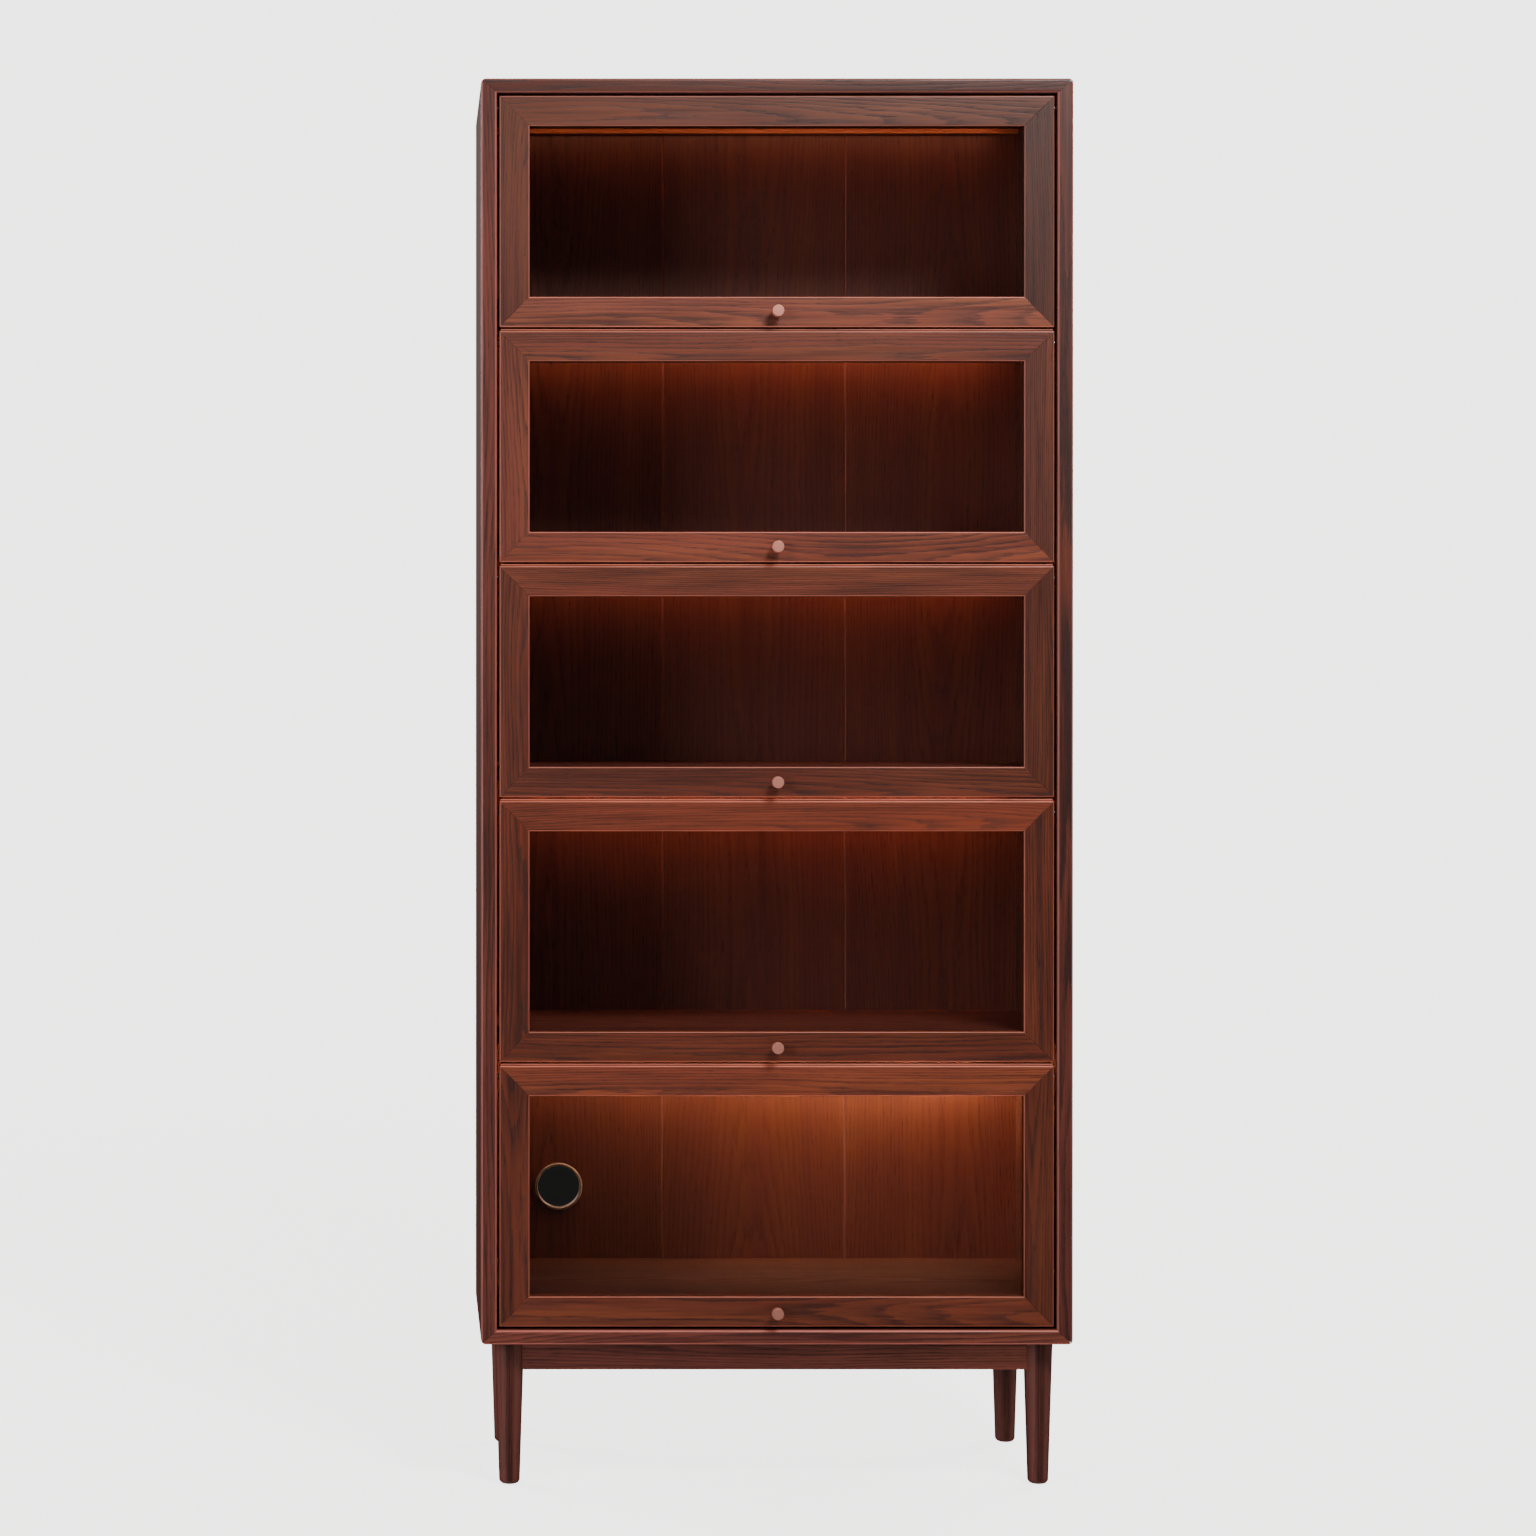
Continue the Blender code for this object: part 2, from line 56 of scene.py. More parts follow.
class Value:
    """One output of a finish's nodes, so that a pattern can be written as a sum."""

    def __init__(self, finish, socket):
        self.finish = finish
        self.socket = socket

    def __add__(self, other):
        return self.finish.maths("ADD", self, other)

    def __radd__(self, other):
        return self.finish.maths("ADD", other, self)

    def __sub__(self, other):
        return self.finish.maths("SUBTRACT", self, other)

    def __rsub__(self, other):
        return self.finish.maths("SUBTRACT", other, self)

    def __mul__(self, other):
        return self.finish.maths("MULTIPLY", self, other)

    def __rmul__(self, other):
        return self.finish.maths("MULTIPLY", other, self)

    def __truediv__(self, other):
        return self.finish.maths("DIVIDE", self, other)

    def __rtruediv__(self, other):
        return self.finish.maths("DIVIDE", other, self)


class Finish:
    """A material, or the room itself, and the nodes that give its pattern."""

    def __init__(self, name, kept=bpy.data.materials, shader="Principled BSDF"):
        self.material = kept.new(name)
        self.material.use_nodes = True
        self.tree = self.material.node_tree
        self.shader = self.tree.nodes[shader]

    def node(self, kind, settings=None, sockets=None, output=0):
        """Adds one node: its settings first, then a value or a link for each socket named."""
        made = self.tree.nodes.new(kind)
        for setting, value in (settings or {}).items():
            if setting == "stops":
                made.color_ramp.elements.remove(made.color_ramp.elements[1])
                made.color_ramp.elements[0].position = value[0][0]
                made.color_ramp.elements[0].color = (*value[0][1], 1.0)
                for place, colour in value[1:]:
                    made.color_ramp.elements.new(place).color = (*colour, 1.0)
            elif setting == "ease":
                made.color_ramp.interpolation = value
            else:
                setattr(made, setting, value)
        for socket, value in (sockets or {}).items():
            if isinstance(value, Value):
                self.tree.links.new(value.socket, made.inputs[socket])
            else:
                made.inputs[socket].default_value = value
        return Value(self, made.outputs[output])

    def maths(self, operation, *terms):
        return self.node("ShaderNodeMath", {"operation": operation}, dict(enumerate(terms)))

    def vector(self, operation, *terms, output=0):
        return self.node("ShaderNodeVectorMath", {"operation": operation}, dict(enumerate(terms)), output)

    def place(self):
        return self.node("ShaderNodeTexCoord", output="Object")

    def between(self, share, first, second):
        """Goes from the first colour to the second as share goes from 0 to 1."""
        colours = [c if isinstance(c, Value) else (*c, 1.0) for c in (first, second)]
        sockets = {0: share, 6: colours[0], 7: colours[1]}
        return self.node("ShaderNodeMix", {"data_type": "RGBA", "clamp_factor": True}, sockets, 2)

    def rise(self, value, low, high):
        """0 below low, 1 above high and smooth between them."""
        settings = {"interpolation_type": "SMOOTHSTEP", "clamp": True}
        sockets = {"Value": value, "From Min": low, "From Max": high}
        return self.node("ShaderNodeMapRange", settings, sockets)

    def speckle(self, place, scale, detail=2.0, roughness=0.5, output="Fac"):
        """Noise whose grain is set for each direction, in patches to the metre."""
        stretched = self.vector("MULTIPLY", place, scale)
        sockets = {"Vector": stretched, "Scale": 1.0, "Detail": detail, "Roughness": roughness}
        return self.node("ShaderNodeTexNoise", {}, sockets, output)

    def show(self, **looks):
        """Joins patterns or plain numbers to the shader's sockets."""
        for socket, look in looks.items():
            target = self.shader.inputs[socket.replace("_", " ")]
            if isinstance(look, Value):
                self.tree.links.new(look.socket, target)
            else:
                target.default_value = look
        return self.material

    def surface(self, socket):
        """Takes another shader than the first as the surface."""
        self.tree.links.new(socket, self.tree.nodes["Material Output"].inputs["Surface"])


TO_LENGTH = {
    "X": Euler((0.0, -math.pi / 2, 0.0)),
    "Y": Euler((math.pi / 2, 0.0, 0.0)),
    "Z": Euler((0.0, 0.0, 0.0)),
}


def toned(tones, *factors):
    """Both tones made lighter or darker by one factor, or by one each for red, green and blue."""
    factors = factors * 3 if len(factors) == 1 else factors
    return [tuple(part * factor for part, factor in zip(tone, factors)) for tone in tones]


def oak(
    name, box, grain, seed, tones, heart, rings=0.0026, stave=0.0, rub_and_highlight=0.3, gloss=0.42, contrast=1.0,
):
    """Stained oak cut from a log whose heart lies off the board, with its length along grain."""
    finish = Finish(name)
    light, dark = tones
    middle = (box[0] + box[1]) / 2
    turn = TO_LENGTH[grain]
    sockets = {"Vector": finish.place(), "Location": -(turn.to_matrix() @ middle), "Rotation": turn}
    board = finish.node("ShaderNodeMapping", {"vector_type": "POINT"}, sockets)
    if stave:
        # A wide board is glued up from staves, each from another log.
        across = finish.node("ShaderNodeSeparateXYZ", {}, {0: board}, "Y")
        count = finish.maths("FLOOR", across / stave + 0.37)
        lone = {"noise_dimensions": "1D"}
        shift = finish.node("ShaderNodeTexWhiteNoise", lone, {"W": count + seed}, "Color")
        stave_tone = finish.node("ShaderNodeTexWhiteNoise", lone, {"W": count * 3.0 + seed}, "Value")
        board = finish.vector("ADD", board, finish.vector("MULTIPLY", shift, (0.05, 0.0, 2.3)))
    log = finish.vector("ADD", board, (seed * 3.17 % 7.0, seed * 5.31 % 9.0, seed * 2.43 % 11.0))
    sway = finish.speckle(log, (5.0, 5.0, 1.0), 1.0, 0.4, "Color")
    sway = finish.vector("MULTIPLY", finish.vector("SUBTRACT", sway, (0.5, 0.5, 0.5)), (0.050, 0.070, 0.0))
    from_heart = finish.vector("ADD", board, (*heart, 0.0))
    from_heart = finish.vector("ADD", finish.vector("MULTIPLY", from_heart, (1.0, 1.0, 0.0)), sway)
    radius = finish.vector("LENGTH", from_heart, output=1)
    ripple = finish.speckle(log, (90.0, 90.0, 6.0), 3.0, 0.65)
    # Each year starts with a coarse dark band of early wood that fades into paler late wood.
    year = finish.maths("FRACT", radius / rings + ripple * 1.5)
    fading = ((0.0, 0.85), (0.10, 1.0), (0.42, 0.45), (0.75, 0.08), (0.93, 0.0), (1.0, 0.85))
    stops = [(place, (level,) * 3) for place, level in fading]
    early = finish.node("ShaderNodeValToRGB", {"stops": stops, "ease": "EASE"}, {"Fac": year})
    early = early * (0.45 + 0.9 * finish.speckle(log, (9.0, 9.0, 2.0), 1.0))
    streak = finish.speckle(log, (420.0, 420.0, 9.0), 3.0, 0.7)
    fibre = finish.speckle(log, (1300.0, 1300.0, 32.0), 2.0, 0.6)
    pore = finish.rise(finish.speckle(log, (1500.0, 1500.0, 60.0), 1.0, 0.5), 0.57, 0.66)
    pore = pore * finish.rise(early, 0.25, 0.8)
    band = finish.speckle(log, (170.0, 170.0, 5.0), 2.0, 0.6)
    drift = finish.speckle(log, (17.0, 17.0, 2.4), 2.0)
    uneven = (streak - 0.5) * 1.3 + (band - 0.5) * 1.3 + (drift - 0.5) * 1.5
    depth = early * 0.62 * contrast + uneven * contrast
    depth = depth + (fibre - 0.5) * 0.5 + 0.22
    if stave:
        depth = depth + (stave_tone - 0.5) * 0.35
    warmer = (light[0] * 1.12, light[1] * 1.25, light[2])
    warmth = finish.rise(finish.speckle(log, (26.0, 26.0, 1.6), 1.0), 0.40, 0.68)
    colour = finish.between(depth, finish.between(warmth, light, warmer), dark)
    colour = finish.between(pore * 0.65, colour, tuple(c * 0.28 for c in dark))
    # The rounded arrises are painted lighter: partly stain rubbed thin, partly a painted highlight
    # along each arris.
    normal = finish.node("ShaderNodeTexCoord", {}, {}, "Normal")
    facing = finish.vector("LENGTH", finish.vector("MULTIPLY", normal, normal), output=1)
    rub_and_highlight_mask = (1.0 - finish.rise(facing, 0.80, 0.985)) * finish.rise(streak, 0.10, 0.60) * rub_and_highlight
    colour = finish.between(rub_and_highlight_mask, colour, tuple(min(1.0, c * 2.6 + 0.05) for c in light))
    height = fibre * 0.25 - early * 0.5 - pore * 1.2
    bump = finish.node("ShaderNodeBump", {}, {"Strength": 0.35, "Distance": 0.00025, "Height": height})
    roughness = gloss + early * 0.12 + (streak - 0.5) * 0.16 + pore * 0.15
    return finish.show(
        Base_Color=colour, Roughness=roughness, Normal=bump, Coat_Weight=0.12, Coat_Roughness=0.35,
    )


def only(piece):
    """Leaves one piece selected and active."""
    bpy.ops.object.select_all(action="DESELECT")
    piece.select_set(True)
    bpy.context.view_layer.objects.active = piece


def pick(piece, mode, wanted):
    """In edit mode, leaves selected the edges or faces whose every point is where wanted says."""
    bpy.ops.mesh.select_mode(type=mode)
    bpy.ops.mesh.select_all(action="DESELECT")
    shape = bmesh.from_edit_mesh(piece.data)
    for part in shape.edges if mode == "EDGE" else shape.faces:
        part.select_set(all(wanted(vertex.co) for vertex in part.verts))
    bmesh.update_edit_mesh(piece.data)


def near(a, b):
    return abs(a - b) < 1e-5


def settle(piece, angle=38.0):
    """Puts the piece's place into its mesh, smooths its curves and keeps its flats flat."""
    only(piece)
    bpy.ops.object.transform_apply(location=True, rotation=True, scale=True)
    bpy.ops.object.shade_smooth_by_angle(angle=math.radians(angle))
    bpy.ops.object.modifier_add(type="WEIGHTED_NORMAL")
    piece.modifiers[-1].keep_sharp = True
    bpy.ops.object.modifier_apply(modifier=piece.modifiers[-1].name)


def copied(piece, name, move=(0.0, 0.0, 0.0), turn=0.0):
    """A copy with its own mesh, turned about the front-to-back line and then moved."""
    only(piece)
    bpy.ops.object.duplicate(linked=False)
    twin = bpy.context.active_object
    twin.name = name
    twin.rotation_euler.y = turn
    twin.location = Vector(twin.location) + Vector(move)
    return twin


def fit(piece, nodes, body, material):
    """Gives a finished piece its material, its body, and the nodes that it stands for."""
    piece.data.materials.clear()
    piece.data.materials.append(material)
    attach(piece, body)
    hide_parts(*nodes)


LEG_OAK = ((0.125, 0.028, 0.019), (0.040, 0.008, 0.006))
GLUE_GAP = 0.0003
spigot_radius, toe_round, head_round = 0.006, 0.006, 0.0008
leg_low, leg_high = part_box("leg_front_left")
leg_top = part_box("bottom_board")[0].z - GLUE_GAP
head_radius = (leg_high.x - leg_low.x) / 2
taper = 0.7
bpy.ops.mesh.primitive_cylinder_add(
    vertices=56, radius=head_radius, depth=leg_top, location=(0, 0, leg_top / 2),
)
leg = bpy.context.active_object
leg.name = "leg"
bpy.ops.object.transform_apply(location=True)
bpy.ops.object.mode_set(mode="EDIT")
pick(leg, "FACE", lambda at: near(at.z, 0.0))
bpy.ops.transform.resize(value=(taper, taper, 1.0), center_override=(0, 0, 0))
bpy.ops.mesh.bevel(offset=toe_round, segments=6, affect="EDGES")
pick(leg, "FACE", lambda at: near(at.z, leg_top))
bpy.ops.mesh.inset(thickness=head_radius - spigot_radius)
bpy.ops.mesh.extrude_region_move(TRANSFORM_OT_translate={"value": (0, 0, leg_high.z - leg_top)})
pick(leg, "EDGE", lambda at: near(at.z, leg_top) and math.hypot(at.x, at.y) > head_radius - 1e-4)
bpy.ops.mesh.bevel(offset=head_round, segments=2, affect="EDGES")
bpy.ops.object.mode_set(mode="OBJECT")
for number, place in enumerate(("front_left", "front_right", "back_left", "back_right")):
    node = "leg_" + place
    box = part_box(node)
    middle = (box[0] + box[1]) / 2
    turned_leg = copied(leg, "turned_" + node, (middle.x, middle.y, 0.0))
    settle(turned_leg)
    seed = 11.3 + number * 1.7
    finish = oak(f"leg oak {number + 1}", box, "Z", seed, LEG_OAK, (0.02, 0.035), gloss=0.40)
    fit(turned_leg, [node], "case", finish)
bpy.data.objects.remove(leg)

# ---------------------------------------------------------------- Aprons
# Four oak rails between the legs, ripped from board and scribed at each end to the round of a leg.
# They are glued under the bottom board, and their lower arrises are eased so they don't splinter.


def merged(node, name):
    """A copy of a board's loose faces, joined up and cleared of needless edges."""
    piece = bpy.data.objects.new(name, frame["nodes"][node].data.copy())
    bpy.context.collection.objects.link(piece)
    only(piece)
    bpy.ops.object.mode_set(mode="EDIT")
    bpy.ops.mesh.select_all(action="SELECT")
    bpy.ops.mesh.remove_doubles(threshold=0.00001)
    bpy.ops.mesh.customdata_custom_splitnormals_clear()
    bpy.ops.mesh.dissolve_limited(angle_limit=math.radians(0.5))
    bpy.ops.object.mode_set(mode="OBJECT")
    return piece


eased = 0.0015
for number, side in enumerate(("front", "back", "left", "right")):
    node = "apron_" + side
    low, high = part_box(node)
    rail = merged(node, "scribed_" + node)
    bpy.ops.object.mode_set(mode="EDIT")
    pick(rail, "EDGE", lambda at: near(at.z, low.z))
    bpy.ops.mesh.bevel(offset=eased, segments=3, affect="EDGES", clamp_overlap=True)
    bpy.ops.object.mode_set(mode="OBJECT")
    settle(rail)
    grain = "X" if side in ("front", "back") else "Y"
    seed = 21.9 + number * 2.3
    # The aprons are toned twice as light as the legs, painted light that makes up for the shade under the
    # bottom board.
    finish = oak("apron oak " + side, (low, high), grain, seed, toned(LEG_OAK, 2.0), (0.03, 0.04))
    fit(rail, [node], "case", finish)

# ---------------------------------------------------------------- Case
# Top, bottom and two sides, glued up from oak staves and planed to 20 and 22 mm.
# The front corners are mitred and the boards lapped behind them; the front arrises are
# rounded over and the outer corners softened before staining.

CASE_OAK = ((0.175, 0.038, 0.025), (0.053, 0.011, 0.008))
# Each board's tones are scaled by its own factor, painted light and shade: the bottom board painted
# lighter, as if lit along its upper arris, the right side and the top board painted darker, as if in
# shade; their arrises get a painted highlight.
for number, (node, grain, heart, board_painted_light) in enumerate((
    ("bottom_board", "X", (0.05, 0.02), 1.4),
    ("left_side_board", "Z", (0.06, 0.01), 1.0),
    ("right_side_board", "Z", (-0.055, 0.02), 0.82),
    ("top_board", "X", (-0.06, 0.01), 0.60),
)):
    board = merged(node, "planed_" + node)
    settle(board, 35.0)
    name = "case oak " + node.replace("_", " ")
    tones = toned(CASE_OAK, board_painted_light)
    seed = 31.1 + number * 3.7
    finish = oak(name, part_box(node), grain, seed, tones, heart, stave=0.083, rub_and_highlight=0.7)
    fit(board, [node], "case", finish)

# ---------------------------------------------------------------- Shelves and back
# Four shelves and a raised floor of oak, let into housings in the sides, and three upright
# back boards that are tongued together and slid down grooves, with a fine vee at each seam.

INNER_OAK = ((0.170, 0.033, 0.022), (0.085, 0.015, 0.011))


def refinish(node, material):
    """Puts a new material on a board whose shape stands as it is."""
    board = frame["nodes"][node]
    board.data.materials.clear()
    board.data.materials.append(material)


for number, node in enumerate(("shelf_1", "shelf_2", "shelf_3", "shelf_4", "floor_board")):
    # The raised floor is toned darkest, as if a row of books shaded it.
    tones = toned(INNER_OAK, 0.42 if node == "floor_board" else 1.0)
    seed = 51.7 + number * 1.9
    finish = oak(f"shelf oak {number + 1}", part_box(node), "X", seed, tones, (0.05, 0.03), stave=0.07)
    refinish(node, finish)
for number, side in enumerate(("left", "centre", "right")):
    node = "back_board_" + side
    finish = oak(
        "back oak " + side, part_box(node), "Z", 63.3 + number * 4.1, INNER_OAK,
        (0.03 - 0.03 * number, 0.09), rings=0.0042, rub_and_highlight=0.5, gloss=0.44, contrast=0.40,
    )
    refinish(node, finish)

# ---------------------------------------------------------------- Cable hole
# A turned oak ring pressed into the hole that lets a lamp's cable out through the left back board.
# Its lip stands a little proud of the board and is rounded, so it catches a thin line of light;
# the ring is toned paler than the board and its lip painted lighter still, a painted highlight on that
# line.


def drawn(name, points):
    """Draws a line from point to point and leaves it open in edit mode."""
    bpy.ops.object.select_all(action="DESELECT")
    bpy.ops.mesh.primitive_plane_add(size=0.01, location=(0, 0, 0))
    piece = bpy.context.active_object
    piece.name = name
    bpy.ops.object.mode_set(mode="EDIT")
    bpy.ops.mesh.select_mode(type="VERT")
    bpy.ops.mesh.merge(type="CENTER")
    bpy.ops.transform.translate(value=points[0])
    for before, after in zip(points, points[1:]):
        step = Vector(after) - Vector(before)
        bpy.ops.mesh.extrude_region_move(TRANSFORM_OT_translate={"value": step})
    return piece


def spin(centre, axis, steps):
    """Turns a drawn line into a closed round piece, and closes edit mode."""
    bpy.ops.mesh.select_all(action="SELECT")
    bpy.ops.mesh.spin(steps=steps, angle=2 * math.pi, center=centre, axis=axis)
    bpy.ops.mesh.select_all(action="SELECT")
    bpy.ops.mesh.remove_doubles(threshold=0.00001)
    bpy.ops.mesh.normals_make_consistent(inside=False)
    bpy.ops.object.mode_set(mode="OBJECT")


openings = frame["record"]["physics"]["openings"]
opening = next(opening for opening in openings if opening["name"] == "cable_hole")["box_m"]
hole_at = (Vector(opening[0]) + Vector(opening[1])) / 2
hole_at.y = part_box("back_board_left")[0].y
ring_out, ring_in, seat, lip, ring_back = 0.0340, 0.0303, 0.0308, 0.0022, 0.0115
# How far out from the middle, and how far back from the face of the board.
profile = [
    (ring_in, ring_back), (ring_in, 0.0010 - lip), (ring_in + 0.0004, 0.0003 - lip),
    (ring_in + 0.0012, -lip), (ring_out - 0.0018, -lip), (ring_out - 0.0009, 0.0003 - lip),
    (ring_out - 0.0003, 0.0009 - lip), (ring_out, 0.0018 - lip), (ring_out, -0.0001),
    (seat + 0.0016, -0.0001), (seat, 0.0015), (seat, ring_back), (ring_in, ring_back),
]
ring = drawn("cable_ring", [(hole_at.x + out, hole_at.y + back, hole_at.z) for out, back in profile])
spin(hole_at, (0, 1, 0), 72)
settle(ring)
ring_box = (hole_at - Vector((ring_out, lip, ring_out)), hole_at + Vector((ring_out, 0.01, ring_out)))
# The ring's paler tones and its lighter lip paint a highlight around the hole.
tones = ((0.26, 0.15, 0.12), (0.14, 0.07, 0.055))
finish = oak("ring oak", ring_box, "Z", 71.9, tones, (0.02, 0.03), rub_and_highlight=0.6)
fit(ring, [], "case", finish)

# ---------------------------------------------------------------- Light bars
# A light strip over each tier: a shallow drawn aluminium trough let into the board above, with a
# lip at its front that keeps the glare off the doors, and a snapped-in opal cover that glows warm.


def brushed(name, colour, axis, gloss):
    """Metal drawn or turned so that fine marks run along one axis."""
    finish = Finish(name)
    here = finish.place()
    scale = [2600.0, 2600.0, 2600.0]
    scale["XYZ".index(axis)] = 40.0
    marks = finish.speckle(here, scale, 2.0, 0.6)
    blotch = finish.speckle(here, (120.0, 120.0, 120.0), 2.0)
    dull = tuple(part * 0.82 for part in colour)
    bright = tuple(part * 1.12 for part in colour)
    shade = finish.between(marks * 0.5 + blotch * 0.5, dull, bright)
    bump = finish.node("ShaderNodeBump", {}, {"Strength": 0.15, "Distance": 0.00005, "Height": marks})
    roughness = gloss + (marks - 0.5) * 0.2 + (blotch - 0.5) * 0.15
    return finish.show(Base_Color=shade, Roughness=roughness, Metallic=1.0, Normal=bump)


def block(name, low, high):
    """A squared block from corner to corner, left open in edit mode."""
    bpy.ops.object.select_all(action="DESELECT")
    bpy.ops.mesh.primitive_cube_add(size=1.0, location=(low + high) / 2, scale=high - low)
    piece = bpy.context.active_object
    piece.name = name
    bpy.ops.object.transform_apply(location=True, rotation=True, scale=True)
    bpy.ops.object.mode_set(mode="EDIT")
    return piece


lip_thick, cover_play, cover_proud = 0.0018, 0.0012, 0.0020
chip_gap = 0.0083
aluminium = brushed("satin aluminium", (0.62, 0.61, 0.60), "X", 0.38)
# Glow, share of it at the far end, yellow in it, glow of the lip, and the lip's depth. The first
# lip is short, because the top door goes back just under it.
lights = (
    (7.5, 0.62, 0.46, 0.55, 0.0034),
    (23.0, 0.62, 0.46, 0.15, 0.0115),
    (22.0, 0.62, 0.46, 0.15, 0.0115),
    (34.0, 0.62, 0.46, 0.15, 0.0115),
    (260.0, 0.20, 0.80, 0.4, 0.0115),
)
for number, (glow, far_end, yellow, lip_glow, lip_depth) in enumerate(lights, start=1):
    node = f"led_bar_{number}"
    low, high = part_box(node)
    trough = block(f"light_trough_{number}", low, high)
    pick(trough, "FACE", lambda at: near(at.z, low.z))
    bpy.ops.mesh.inset(thickness=0.001)
    bpy.ops.mesh.extrude_region_move(TRANSFORM_OT_translate={"value": (0, 0, 0.0048)})
    pick(trough, "EDGE", lambda at: near(at.z, low.z))
    bpy.ops.mesh.bevel(offset=0.0002, segments=2, affect="EDGES")
    bpy.ops.object.mode_set(mode="OBJECT")
    settle(trough)
    fit(trough, [node], "case", aluminium)

    under = low.z - cover_proud
    play = Vector((cover_play, cover_play, 0.0))
    cover = block(
        f"light_cover_{number}", Vector((low.x, low.y, under)) + play,
        Vector((high.x, high.y, low.z + cover_proud)) - play,
    )
    bpy.ops.mesh.select_all(action="SELECT")
    lip_rear = low.y + cover_play + lip_thick
    bpy.ops.mesh.bisect(plane_co=(0.0, lip_rear, 0.0), plane_no=(0, 1, 0))
    pick(cover, "FACE", lambda at: near(at.z, under) and at.y < lip_rear + 0.00001)
    bpy.ops.mesh.extrude_region_move(TRANSFORM_OT_translate={"value": (0, 0, -lip_depth)})
    bpy.ops.mesh.select_all(action="SELECT")
    bpy.ops.mesh.dissolve_limited(angle_limit=math.radians(0.5))
    rear_edge = lambda at: near(at.z, under) and at.y > lip_rear + 0.0001
    pick(cover, "EDGE", lambda at: rear_edge(at) or near(at.z, under - lip_depth))
    bpy.ops.mesh.bevel(offset=0.0006, segments=4, affect="EDGES")
    bpy.ops.object.mode_set(mode="OBJECT")
    settle(cover)
    opal = Finish(f"opal cover {number}")
    here = opal.place()
    along, back, up = (opal.node("ShaderNodeSeparateXYZ", {}, {0: here}, axis) for axis in "XYZ")
    # Each chip behind the cover shows as a soft bright spot, and the feed end is the brighter one.
    chips = opal.maths("PINGPONG", along, chip_gap) / chip_gap
    spots = opal.speckle(here, (900.0, 900.0, 900.0))
    level = (far_end + (1.0 - far_end) * opal.rise(along, low.x, high.x)) * (0.86 + 0.14 * chips)
    warm = opal.between(level, (0.0, 0.0, 0.0), (1.0, yellow, yellow * 0.55))
    # The lip is tinted amber, so only a little light comes through it.
    amber = tuple(part * lip_glow / glow for part in (0.36, 0.058, 0.010))
    warm = opal.between(opal.rise(up, under - 0.0012, under - 0.0004), amber, warm)
    warm = opal.between(opal.rise(back, lip_rear - 0.0002, lip_rear + 0.0002), amber, warm)
    plain = opal.between(spots, (0.82, 0.78, 0.70), (0.90, 0.87, 0.80))
    opal.show(Base_Color=plain, Roughness=0.42 + spots * 0.15, Emission_Color=warm, Emission_Strength=glow)
    fit(cover, [node], "case", opal.material)

# ---------------------------------------------------------------- Top cleat
# A square oak cleat glued into the corner between the top board and the back boards. The light
# bar in front of it lights it, and its tones are a bright amber far paler than the oak around it,
# a painted glow over the top tier, clear of the stowed door.

back_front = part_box("back_board_left")[0].y
cleat_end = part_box("shelf_1")[1].x - 0.0005
cleat_low = Vector((-cleat_end, back_front - 0.0140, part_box("led_bar_1")[1].z - 0.0128))
cleat_high = Vector((cleat_end, back_front - 0.0004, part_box("top_board")[0].z - 0.0002))
cleat = block("top_cleat", cleat_low, cleat_high)
pick(cleat, "EDGE", lambda at: near(at.z, cleat_low.z) and near(at.y, cleat_low.y))
bpy.ops.mesh.bevel(offset=0.0018, segments=4, affect="EDGES")
bpy.ops.object.mode_set(mode="OBJECT")
settle(cleat)
# These bright amber tones are a painted glow, where the light bar shines on the cleat.
tones = ((0.66, 0.155, 0.055), (0.46, 0.095, 0.034))
finish = oak("cleat oak", (cleat_low, cleat_high), "X", 47.9, tones, (0.02, 0.05), contrast=0.5)
fit(cleat, [], "case", finish)

# ---------------------------------------------------------------- Doors
# Each door is four oak members, ploughed for the glass, mitred and glued at the corners.
# The outer arrises are rounded and the inner edge has a small round-over beside the pane.
# A steel rod runs through the top rail and its ends travel in grooves in the case sides.

DOOR_OAK = ((0.215, 0.048, 0.026), (0.072, 0.0145, 0.0080))
# How much lighter each member is painted, painted light and shade for how light falls on it, with
# the stiles painted darker and the right ones darkest: top rail, bottom rail, left and right stile of
# doors 1 to 5.
MEMBER_PAINTED_LIGHT = (
    (0.66, 1.22, 0.64, 0.42),
    (0.84, 1.16, 0.88, 0.61),
    (0.97, 0.84, 0.77, 0.59),
    (1.14, 0.82, 0.85, 0.76),
    (1.20, 0.87, 0.73, 0.60),
)
# What the red, green and blue of each door's colour are multiplied by, warmest low down.
WARMING = (
    (1.0, 1.12, 1.15), (1.0, 1.0, 1.0), (1.0, 0.95, 0.85), (1.0, 0.84, 0.62), (1.0, 0.86, 0.68),
)
mitre_gap = 0.00022
rail_low, rail_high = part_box("door_1_top_rail")
pane_low, pane_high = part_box("door_1_glass")
member = rail_high.z - rail_low.z
thick = rail_high.y - rail_low.y
plough_front = pane_low.y - rail_low.y - GLUE_GAP
plough_back = pane_high.y - rail_low.y + GLUE_GAP
hold = pane_high.z - rail_low.z + 0.001


